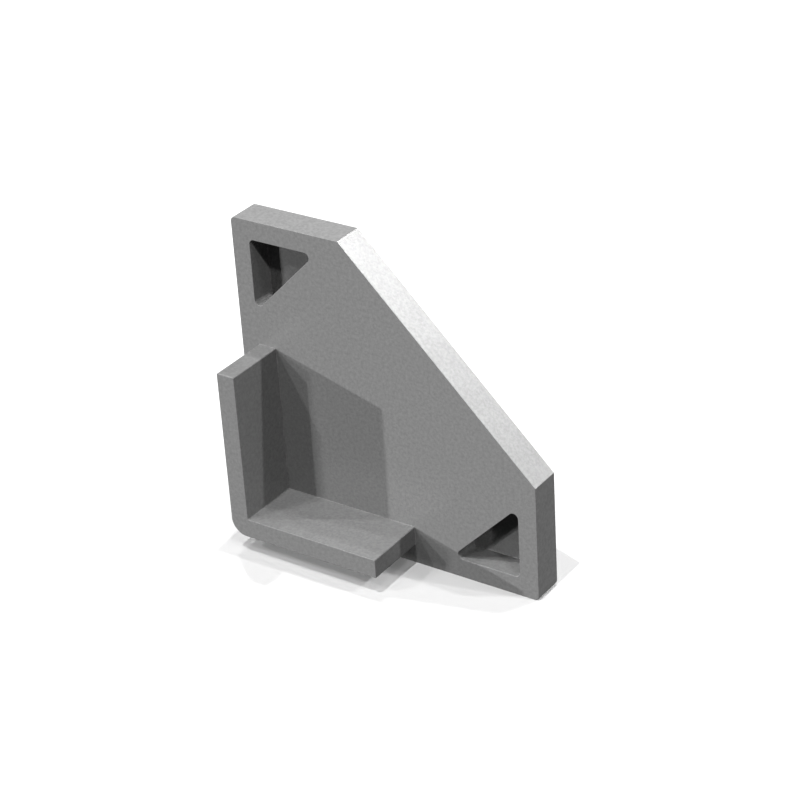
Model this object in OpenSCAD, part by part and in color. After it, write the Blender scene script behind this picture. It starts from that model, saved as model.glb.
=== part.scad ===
// End cap for an open corner profile that a diagonal cover closes. It is one moulding: a square
// plate with one corner cut off at 45 degrees, an angle plug that presses into the profile's
// corner, and two blind triangular pockets that keep the plate's thick corners from sinking.
// The plate stands upright, the plug points along -Y, and the origin is the middle of the
// plate's square outline, on the face that meets the profile's end.

/* [Plate] */
// Height and width of the plate, the same as the profile's outside
plate_size = 19.5; // [18.5:0.1:30]
// Thickness of the plate
plate_thickness = 2; // [1.4:0.1:4]
// How far the cut takes off the top edge and the right edge
corner_cut = 12.2; // [6:0.1:12.4]
// Radius of the three corners that are left
corner_radius = 0.3; // [0.1:0.05:1]

/* [Plug] */
// How far the plug stands out of the plate
plug_depth = 4; // [2:0.1:12]
// From the plate's left and bottom edges to the plug, the thickness of the profile's wall
profile_wall = 1.2; // [0.6:0.1:1.6]
// Thickness of the plug's two legs
leg_thickness = 1.2; // [0.8:0.1:2]
// Length of the upright leg, from the outside of the lower leg
upright_leg = 10.5; // [4:0.1:11]
// Length of the lower leg, from the outside of the upright leg
lower_leg = 10.1; // [4:0.1:11]
// Radius outside the bend of the plug, which clears the profile's inside corner
heel_radius = 1; // [0.2:0.1:2]

/* [Pockets] */
// Length of each short side of a pocket, to where the unrounded sides would meet
pocket_side = 4.5; // [3:0.1:5]
// Plastic left between the floor of a pocket and the plate's outer face
pocket_floor = 0.4; // [0.3:0.1:1.2]
// Plastic between a pocket's short sides and the plate's edges
pocket_margin = 1.2; // [0.6:0.1:1.6]
// Radius of a pocket's three corners
pocket_radius = 0.3; // [0.1:0.05:0.4]

/* [Hidden] */
// Steps round a full circle
$fn = 96;

// A corner that keeps its point
sharp = 0;
// How far a solid runs past the face it starts from, so that it joins or cuts cleanly
overrun = 0.5;

// The plate's edges, seen from the plug's side
left = -plate_size / 2;
right = plate_size / 2;
bottom = -plate_size / 2;
top = plate_size / 2;

// The outer corner of the angle plug
plug_left = left + profile_wall;
plug_bottom = bottom + profile_wall;

// The square corner of the upper pocket, and how deep both pockets go
pocket_left = left + pocket_margin;
pocket_top = top - pocket_margin;
pocket_depth = plate_thickness - pocket_floor;

// Direction from one point to another, one unit long
function direction(from, to) = (to - from) / norm(to - from);
// Half of the angle between the two sides that meet at a corner
function half_angle(before, corner, after) =
    acos(direction(corner, before) * direction(corner, after)) / 2;
// Where a rounding of radius r starts on the side that runs from a corner to its neighbour
function rounding_start(corner, neighbour, r, half) =
    corner + direction(corner, neighbour) * r / tan(half);
// Centre of a rounding of radius r
function rounding_centre(before, corner, after, r, half) =
    let (inward = direction(corner, before) + direction(corner, after))
    corner + inward / norm(inward) * r / sin(half);

// A flat outline with each corner rounded by its own radius. At each rounded corner, the
// kite between the point and the rounding's centre loses what lies outside the circle.
module rounded_outline(corners, radii) {
    count = len(corners);
    difference() {
        polygon(corners);
        for (i = [0:count - 1])
            if (radii[i] != sharp)
                corner_waste(corners[(i + count - 1) % count], corners[i], corners[(i + 1) % count], radii[i]);
    }
}

// What a rounding of radius r takes off one corner
module corner_waste(before, corner, after, r) {
    half = half_angle(before, corner, after);
    centre = rounding_centre(before, corner, after, r, half);
    difference() {
        polygon([
            corner,
            rounding_start(corner, before, r, half),
            centre,
            rounding_start(corner, after, r, half)
        ]);
        translate(centre) circle(r);
    }
}

// The square with its upper right corner cut off
module plate_outline() {
    rounded_outline(
        [[left, bottom], [right, bottom], [right, top - corner_cut], [right - corner_cut, top], [left, top]],
        [corner_radius, corner_radius, sharp, sharp, corner_radius]
    );
}

// The angle: round outside its bend, sharp inside it and at both ends
module plug_outline() {
    rounded_outline(
        [
            [plug_left, plug_bottom],
            [plug_left + lower_leg, plug_bottom],
            [plug_left + lower_leg, plug_bottom + leg_thickness],
            [plug_left + leg_thickness, plug_bottom + leg_thickness],
            [plug_left + leg_thickness, plug_bottom + upright_leg],
            [plug_left, plug_bottom + upright_leg]
        ],
        [heel_radius, sharp, sharp, sharp, sharp, sharp]
    );
}

// A right-angled triangle, its long side alongside the corner cut
module pocket_outline() {
    rounded_outline(
        [
            [pocket_left, pocket_top],
            [pocket_left, pocket_top - pocket_side],
            [pocket_left + pocket_side, pocket_top]
        ],
        [pocket_radius, pocket_radius, pocket_radius]
    );
}

// Stands a flat outline up, from y = front to y = back
module upright(front, back) {
    translate([0, back, 0])
        rotate([90, 0, 0])
            linear_extrude(back - front)
                children();
}

module plate() {
    difference() {
        upright(0, plate_thickness) plate_outline();
        upright(-overrun, pocket_depth) {
            pocket_outline();
            // The lower pocket mirrors the upper one across the plate's diagonal
            mirror([1, -1]) pocket_outline();
        }
    }
}

module end_cap() {
    color("darkgray") {
        plate();
        upright(-plug_depth, overrun) plug_outline();
    }
}

end_cap();
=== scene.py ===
"""A grey plastic end cap for a corner profile, standing on a pale studio floor."""

import math

import bmesh
import bpy
from mathutils import Matrix, Vector


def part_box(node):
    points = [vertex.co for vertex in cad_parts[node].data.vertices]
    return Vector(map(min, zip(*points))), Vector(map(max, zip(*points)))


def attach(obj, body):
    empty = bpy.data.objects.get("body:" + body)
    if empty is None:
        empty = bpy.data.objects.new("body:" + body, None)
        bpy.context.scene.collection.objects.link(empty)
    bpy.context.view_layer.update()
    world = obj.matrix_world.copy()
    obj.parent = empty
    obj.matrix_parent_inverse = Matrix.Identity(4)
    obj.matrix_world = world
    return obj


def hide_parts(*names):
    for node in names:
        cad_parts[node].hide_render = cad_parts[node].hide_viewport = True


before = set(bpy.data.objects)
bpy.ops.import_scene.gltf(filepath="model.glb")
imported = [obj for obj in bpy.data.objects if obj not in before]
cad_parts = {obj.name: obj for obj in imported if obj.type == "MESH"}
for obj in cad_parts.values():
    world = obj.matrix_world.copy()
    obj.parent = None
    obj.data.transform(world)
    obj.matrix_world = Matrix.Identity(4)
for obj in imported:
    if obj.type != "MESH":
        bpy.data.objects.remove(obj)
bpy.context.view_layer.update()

# The moulding.
# The cap is one piece of grey ABS, injection moulded: a square plate with one corner cut off, an
# angle plug that presses into the profile's corner, and two blind pockets, left in the plate's
# pointed corners so that the thick plastic there cools without sinking.
MM = 0.001
low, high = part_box("end_cap")
plate_left, plate_right = low.x, high.x
plate_bottom, plate_top = low.z, high.z
seat_face = 0.0
outer_face = high.y
plug_end = low.y

corner_cut = 12.2 * MM
corner_radius = 0.3 * MM

profile_wall = 1.2 * MM
leg_thickness = 1.2 * MM
upright_leg = 10.5 * MM
lower_leg = 10.1 * MM
heel_radius = 1.0 * MM

pocket_margin = 1.2 * MM
pocket_side = 4.5 * MM
pocket_floor = 0.4 * MM
pocket_radius = 0.3 * MM

# A mould never leaves a knife edge, so every edge is broken and every inside corner filled by
# this much, and the corners that a drawing leaves sharp keep a trace of a radius too.
edge_radius = 0.03 * MM
least_radius = 0.06 * MM
sharp = 0.0

# How finely the roundings are stepped: an outline's corners by angle, an edge by number
arc_step = math.radians(6)
fewest_arc_steps = 3
edge_steps = 4


def outline(corners):
    """Points round a closed outline of (x, z, radius), each with the direction that faces out."""
    points = []
    for i, (x, z, radius) in enumerate(corners):
        corner = Vector((x, z))
        arriving = corner - Vector(corners[i - 1][:2])
        leaving = Vector(corners[(i + 1) % len(corners)][:2]) - corner
        out_before = Vector((arriving.y, -arriving.x)).normalized()
        out_after = Vector((leaving.y, -leaving.x)).normalized()
        turn = math.atan2(arriving.x * leaving.y - arriving.y * leaving.x, arriving.dot(leaving))
        radius = math.copysign(max(radius, least_radius), turn)
        centre = corner - (out_before + out_after) * radius / (1 + out_before.dot(out_after))
        steps = max(fewest_arc_steps, round(abs(turn) / arc_step))
        for k in range(steps + 1):
            out = Matrix.Rotation(turn * k / steps, 2) @ out_before
            points.append((centre + out * radius, out))
    return points


# A flat face looks to the front, where the plug is, or to the back. The wall beside it looks out
# of its outline or into it. Their edge stands out and is broken, or is a corner and is filled.
to_front, to_back = -1, 1
looks_out, looks_in = 1, -1
broken, filled = 1, -1


def rounding(face_y, face_looks, wall_looks, edge):
    """Steps from a flat face round its edge to the wall beside it.

    Each step gives how far the outline grows there, its y, and how much its normal points
    sideways and along Y.
    """
    steps = []
    for k in range(edge_steps + 1):
        angle = math.radians(90) * k / edge_steps
        sideways = wall_looks * math.sin(angle)
        along = face_looks * math.cos(angle)
        grow = edge * edge_radius * (sideways - wall_looks)
        y = face_y + edge * edge_radius * (along - face_looks)
        steps.append((grow, y, sideways, along))
    return steps


skin = bmesh.new()
skin_normals = []


def lay_wall(shape, steps):
    """Lays the outline's points once for each step, joins them, and gives the first and last ring."""
    rings = []
    for grow, y, sideways, along in steps:
        ring = []
        for point, out in shape:
            at = point + out * grow
            ring.append(skin.verts.new((at.x, y, at.y)))
            skin_normals.append((out.x * sideways, along, out.y * sideways))
        rings.append(ring)
    for near, far in zip(rings, rings[1:]):
        for i in range(len(shape)):
            skin.faces.new((near[i - 1], near[i], far[i], far[i - 1]))
    return rings[0], rings[-1]


plate = outline([
    (plate_left, plate_bottom, corner_radius),
    (plate_right, plate_bottom, corner_radius),
    (plate_right, plate_top - corner_cut, sharp),
    (plate_right - corner_cut, plate_top, sharp),
    (plate_left, plate_top, corner_radius),
])
front_rim, back_rim = lay_wall(
    plate,
    rounding(seat_face, to_front, looks_out, broken)
    + rounding(outer_face, to_back, looks_out, broken)[::-1],
)

# The plug stands in from the plate's edges by the thickness of the profile's wall
heel_x, heel_z = plate_left + profile_wall, plate_bottom + profile_wall
plug = outline([
    (heel_x, heel_z, heel_radius),
    (heel_x + lower_leg, heel_z, sharp),
    (heel_x + lower_leg, heel_z + leg_thickness, sharp),
    (heel_x + leg_thickness, heel_z + leg_thickness, sharp),
    (heel_x + leg_thickness, heel_z + upright_leg, sharp),
    (heel_x, heel_z + upright_leg, sharp),
])
plug_root, plug_rim = lay_wall(
    plug,
    rounding(seat_face, to_front, looks_out, filled)
    + rounding(plug_end, to_front, looks_out, broken)[::-1],
)

# The lower pocket mirrors the upper one across the plate's diagonal, which swaps x and z
pocket_x, pocket_z = plate_left + pocket_margin, plate_top - pocket_margin
upper_pocket = [
    (pocket_x, pocket_z),
    (pocket_x, pocket_z - pocket_side),
    (pocket_x + pocket_side, pocket_z),
]
lower_pocket = [(z, x) for x, z in reversed(upper_pocket)]
pocket_mouths = []
for corners in (upper_pocket, lower_pocket):
    mouth, floor_edge = lay_wall(
        outline([(x, z, pocket_radius) for x, z in corners]),
        rounding(seat_face, to_front, looks_in, broken)
        + rounding(outer_face - pocket_floor, to_front, looks_in, filled)[::-1],
    )
    pocket_mouths.append(mouth)
    skin.faces.new(floor_edge)

# The flat faces close the skin. They add no points, so each point keeps the normal it was given.
skin.faces.new(back_rim)
skin.faces.new(plug_rim)
seat_edges = []
for ring in (front_rim, plug_root, *pocket_mouths):
    seat_edges += [skin.edges.get((ring[i - 1], ring[i])) for i in range(len(ring))]
bmesh.ops.triangle_fill(skin, edges=seat_edges, use_beauty=True, normal=(0, to_front, 0))
bmesh.ops.recalc_face_normals(skin, faces=skin.faces)
for face in skin.faces:
    face.smooth = True

mesh = bpy.data.meshes.new("end_cap_moulding")
skin.to_mesh(mesh)
skin.free()
mesh.normals_split_custom_set_from_vertices(skin_normals)
moulding = bpy.data.objects.new("end_cap_moulding", mesh)
bpy.context.scene.collection.objects.link(moulding)
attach(moulding, "root")
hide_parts("end_cap")
# The light that one face would throw onto another is left out, which keeps the pockets dark
moulding.visible_diffuse = False

# The mould's faces are spark-eroded, which prints a fine matt grain on the plastic and speckles
# its grey. The melt's flow leaves very low waves and a slightly uneven gloss.
grain_width, grain_height = 0.11 * MM, 0.005 * MM
wave_width, wave_height = 1.6 * MM, 0.003 * MM
speckle_width = 0.2 * MM
darker_grey, lighter_grey = 0.248, 0.312
least_roughness, most_roughness = 0.280, 0.300

plastic = bpy.data.materials.new("moulded_plastic")
plastic.use_nodes = True
nodes, links = plastic.node_tree.nodes, plastic.node_tree.links
shader = nodes["Principled BSDF"]
place = nodes.new("ShaderNodeTexCoord")


def cloudy(width, detail, finer=0.5):
    """An even random pattern of grains this wide, as a number that runs about 0.5.

    detail is how many times it repeats at half the width, each time as strong as finer says.
    """
    pattern = nodes.new("ShaderNodeTexNoise")
    pattern.inputs["Scale"].default_value = 1 / width
    pattern.inputs["Detail"].default_value = detail
    pattern.inputs["Roughness"].default_value = finer
    links.new(place.outputs["Object"], pattern.inputs["Vector"])
    return pattern.outputs["Fac"]


# Nearly all of a cloudy pattern lies between these
cloudy_low, cloudy_high = 0.3, 0.7


def spread(pattern, at_low, at_high):
    """The pattern, stretched to run between two values."""
    ramp = nodes.new("ShaderNodeMapRange")
    ramp.inputs["From Min"].default_value = cloudy_low
    ramp.inputs["From Max"].default_value = cloudy_high
    ramp.inputs["To Min"].default_value = at_low
    ramp.inputs["To Max"].default_value = at_high
    links.new(pattern, ramp.inputs["Value"])
    return ramp.outputs["Result"]


def raise_grain(pattern, height, under=None):
    """A bump whose highest grains stand this far out, on top of another bump if there is one."""
    bump = nodes.new("ShaderNodeBump")
    bump.inputs["Strength"].default_value = 1.0
    bump.inputs["Distance"].default_value = height
    links.new(pattern, bump.inputs["Height"])
    if under:
        links.new(under, bump.inputs["Normal"])
    return bump.outputs["Normal"]


grain = cloudy(grain_width, detail=2)
speckle = cloudy(speckle_width, detail=1, finer=0.9)
flow = cloudy(wave_width, detail=2)

grey = nodes.new("ShaderNodeMix")
grey.data_type = "RGBA"
share, darker, lighter = grey.inputs[0], grey.inputs[6], grey.inputs[7]
mixed = grey.outputs[2]
darker.default_value = (darker_grey, darker_grey, darker_grey, 1)
lighter.default_value = (lighter_grey, lighter_grey, lighter_grey, 1)
links.new(spread(speckle, 0, 1), share)
links.new(mixed, shader.inputs["Base Color"])
links.new(spread(flow, least_roughness, most_roughness), shader.inputs["Roughness"])
waves = raise_grain(flow, wave_height)
links.new(raise_grain(grain, grain_height, under=waves), shader.inputs["Normal"])
mesh.materials.append(plastic)

# The studio floor.
# A wide sheet of matt white board, laid flat under the cap. It stands in for a white backdrop,
# so it throws no light back onto the plastic.
floor_reach = 2.0
board_white = 0.85
board_roughness = 0.9

floor_mesh = bpy.data.meshes.new("studio_floor")
floor_corners = [
    (-floor_reach, -floor_reach, plate_bottom),
    (floor_reach, -floor_reach, plate_bottom),
    (floor_reach, floor_reach, plate_bottom),
    (-floor_reach, floor_reach, plate_bottom),
]
floor_mesh.from_pydata(floor_corners, [], [(0, 1, 2, 3)])
floor = bpy.data.objects.new("studio_floor", floor_mesh)
bpy.context.scene.collection.objects.link(floor)
floor.visible_diffuse = False
floor.visible_glossy = False

board = bpy.data.materials.new("white_board")
board.use_nodes = True
board_shader = board.node_tree.nodes["Principled BSDF"]
board_shader.inputs["Base Color"].default_value = (board_white, board_white, board_white, 1)
board_shader.inputs["Roughness"].default_value = board_roughness
floor_mesh.materials.append(board)

# The light.
# Distant lamps, round the cap and above it. A lamp's first angle is the way round, seen from
# above: 0 is in front of the plug, 90 to its right, 180 behind the plate. Its second angle is
# how high it stands. The wider its disc, the softer the edges of its shadows.


def direction(azimuth, elevation):
    """The direction from the cap to something at these angles, in degrees."""
    azimuth, elevation = math.radians(azimuth), math.radians(elevation)
    level = math.cos(elevation)
    return Vector((math.sin(azimuth) * level, -math.cos(azimuth) * level, math.sin(elevation)))


def lamp(name, azimuth, elevation, strength, width):
    """A distant lamp whose disc looks this many degrees wide from the cap."""
    light = bpy.data.lights.new(name, "SUN")
    light.energy = strength
    light.angle = math.radians(width)
    holder = bpy.data.objects.new(name, light)
    holder.rotation_mode = "QUATERNION"
    holder.rotation_quaternion = direction(azimuth, elevation).to_track_quat("Z", "Y")
    bpy.context.scene.collection.objects.link(holder)


lamp("left", -61, 14, 1.90, 1)
lamp("left_front", -27, 21, 0.56, 1.2)
lamp("left_low", -30, 12, 0.48, 6)
lamp("front_left", -34, 46, 0.53, 1.5)
lamp("top_front", -1, 71, 1.18, 1)
lamp("top_left", -129, 73, 0.52, 1)
lamp("top_back", -177, 63.5, 1.10, 1.5)
lamp("top_right", 60, 64, 0.30, 8)
lamp("right_front", 60, 38, 0.62, 2)
lamp("right", 102, 41, 0.69, 1.2)
lamp("back_right", 150, 34, 0.82, 2)
lamp("low_back_right", 145, 27, 0.20, 4)

# The room beyond the board looks white, but lights the cap only a little.
white = (1, 1, 1, 1)
room_glow = 0.02

room = bpy.data.worlds.new("studio")
room.use_nodes = True
room_nodes, room_links = room.node_tree.nodes, room.node_tree.links
glow = room_nodes["Background"]
glow.inputs["Color"].default_value = white
glow.inputs["Strength"].default_value = room_glow
backdrop = room_nodes.new("ShaderNodeBackground")
backdrop.inputs["Color"].default_value = white
ray = room_nodes.new("ShaderNodeLightPath")
either = room_nodes.new("ShaderNodeMixShader")
is_seen, when_lighting, when_seen = either.inputs
room_links.new(ray.outputs["Is Camera Ray"], is_seen)
room_links.new(glow.outputs["Background"], when_lighting)
room_links.new(backdrop.outputs["Background"], when_seen)
room_links.new(either.outputs["Shader"], room_nodes["World Output"].inputs["Surface"])
bpy.context.scene.world = room
bpy.context.scene.view_settings.view_transform = "Standard"

# The camera.
# It stands to the right of the plug and looks a little down, level but for a slight lean. The
# lens is a long one, so the cap's parallel edges stay nearly parallel.
aim = Vector((1.114, 0, 0.824)) * MM
to_camera = direction(azimuth=35.74, elevation=28.96)
distance = 131.2 * MM
lean = math.radians(-3.705)
focal_length = 106.57
film_width = 36
nearest, farthest = 0.01, 10

lens = bpy.data.cameras.new("camera")
lens.lens = focal_length
lens.sensor_width = film_width
lens.clip_start = nearest
lens.clip_end = farthest
camera = bpy.data.objects.new("camera", lens)
camera.rotation_mode = "QUATERNION"
camera.location = aim + to_camera * distance
level_view = (-to_camera).to_track_quat("-Z", "Y").to_matrix().to_4x4()
camera.rotation_quaternion = (Matrix.Rotation(lean, 4, to_camera) @ level_view).to_quaternion()
bpy.context.scene.collection.objects.link(camera)
bpy.context.scene.camera = camera
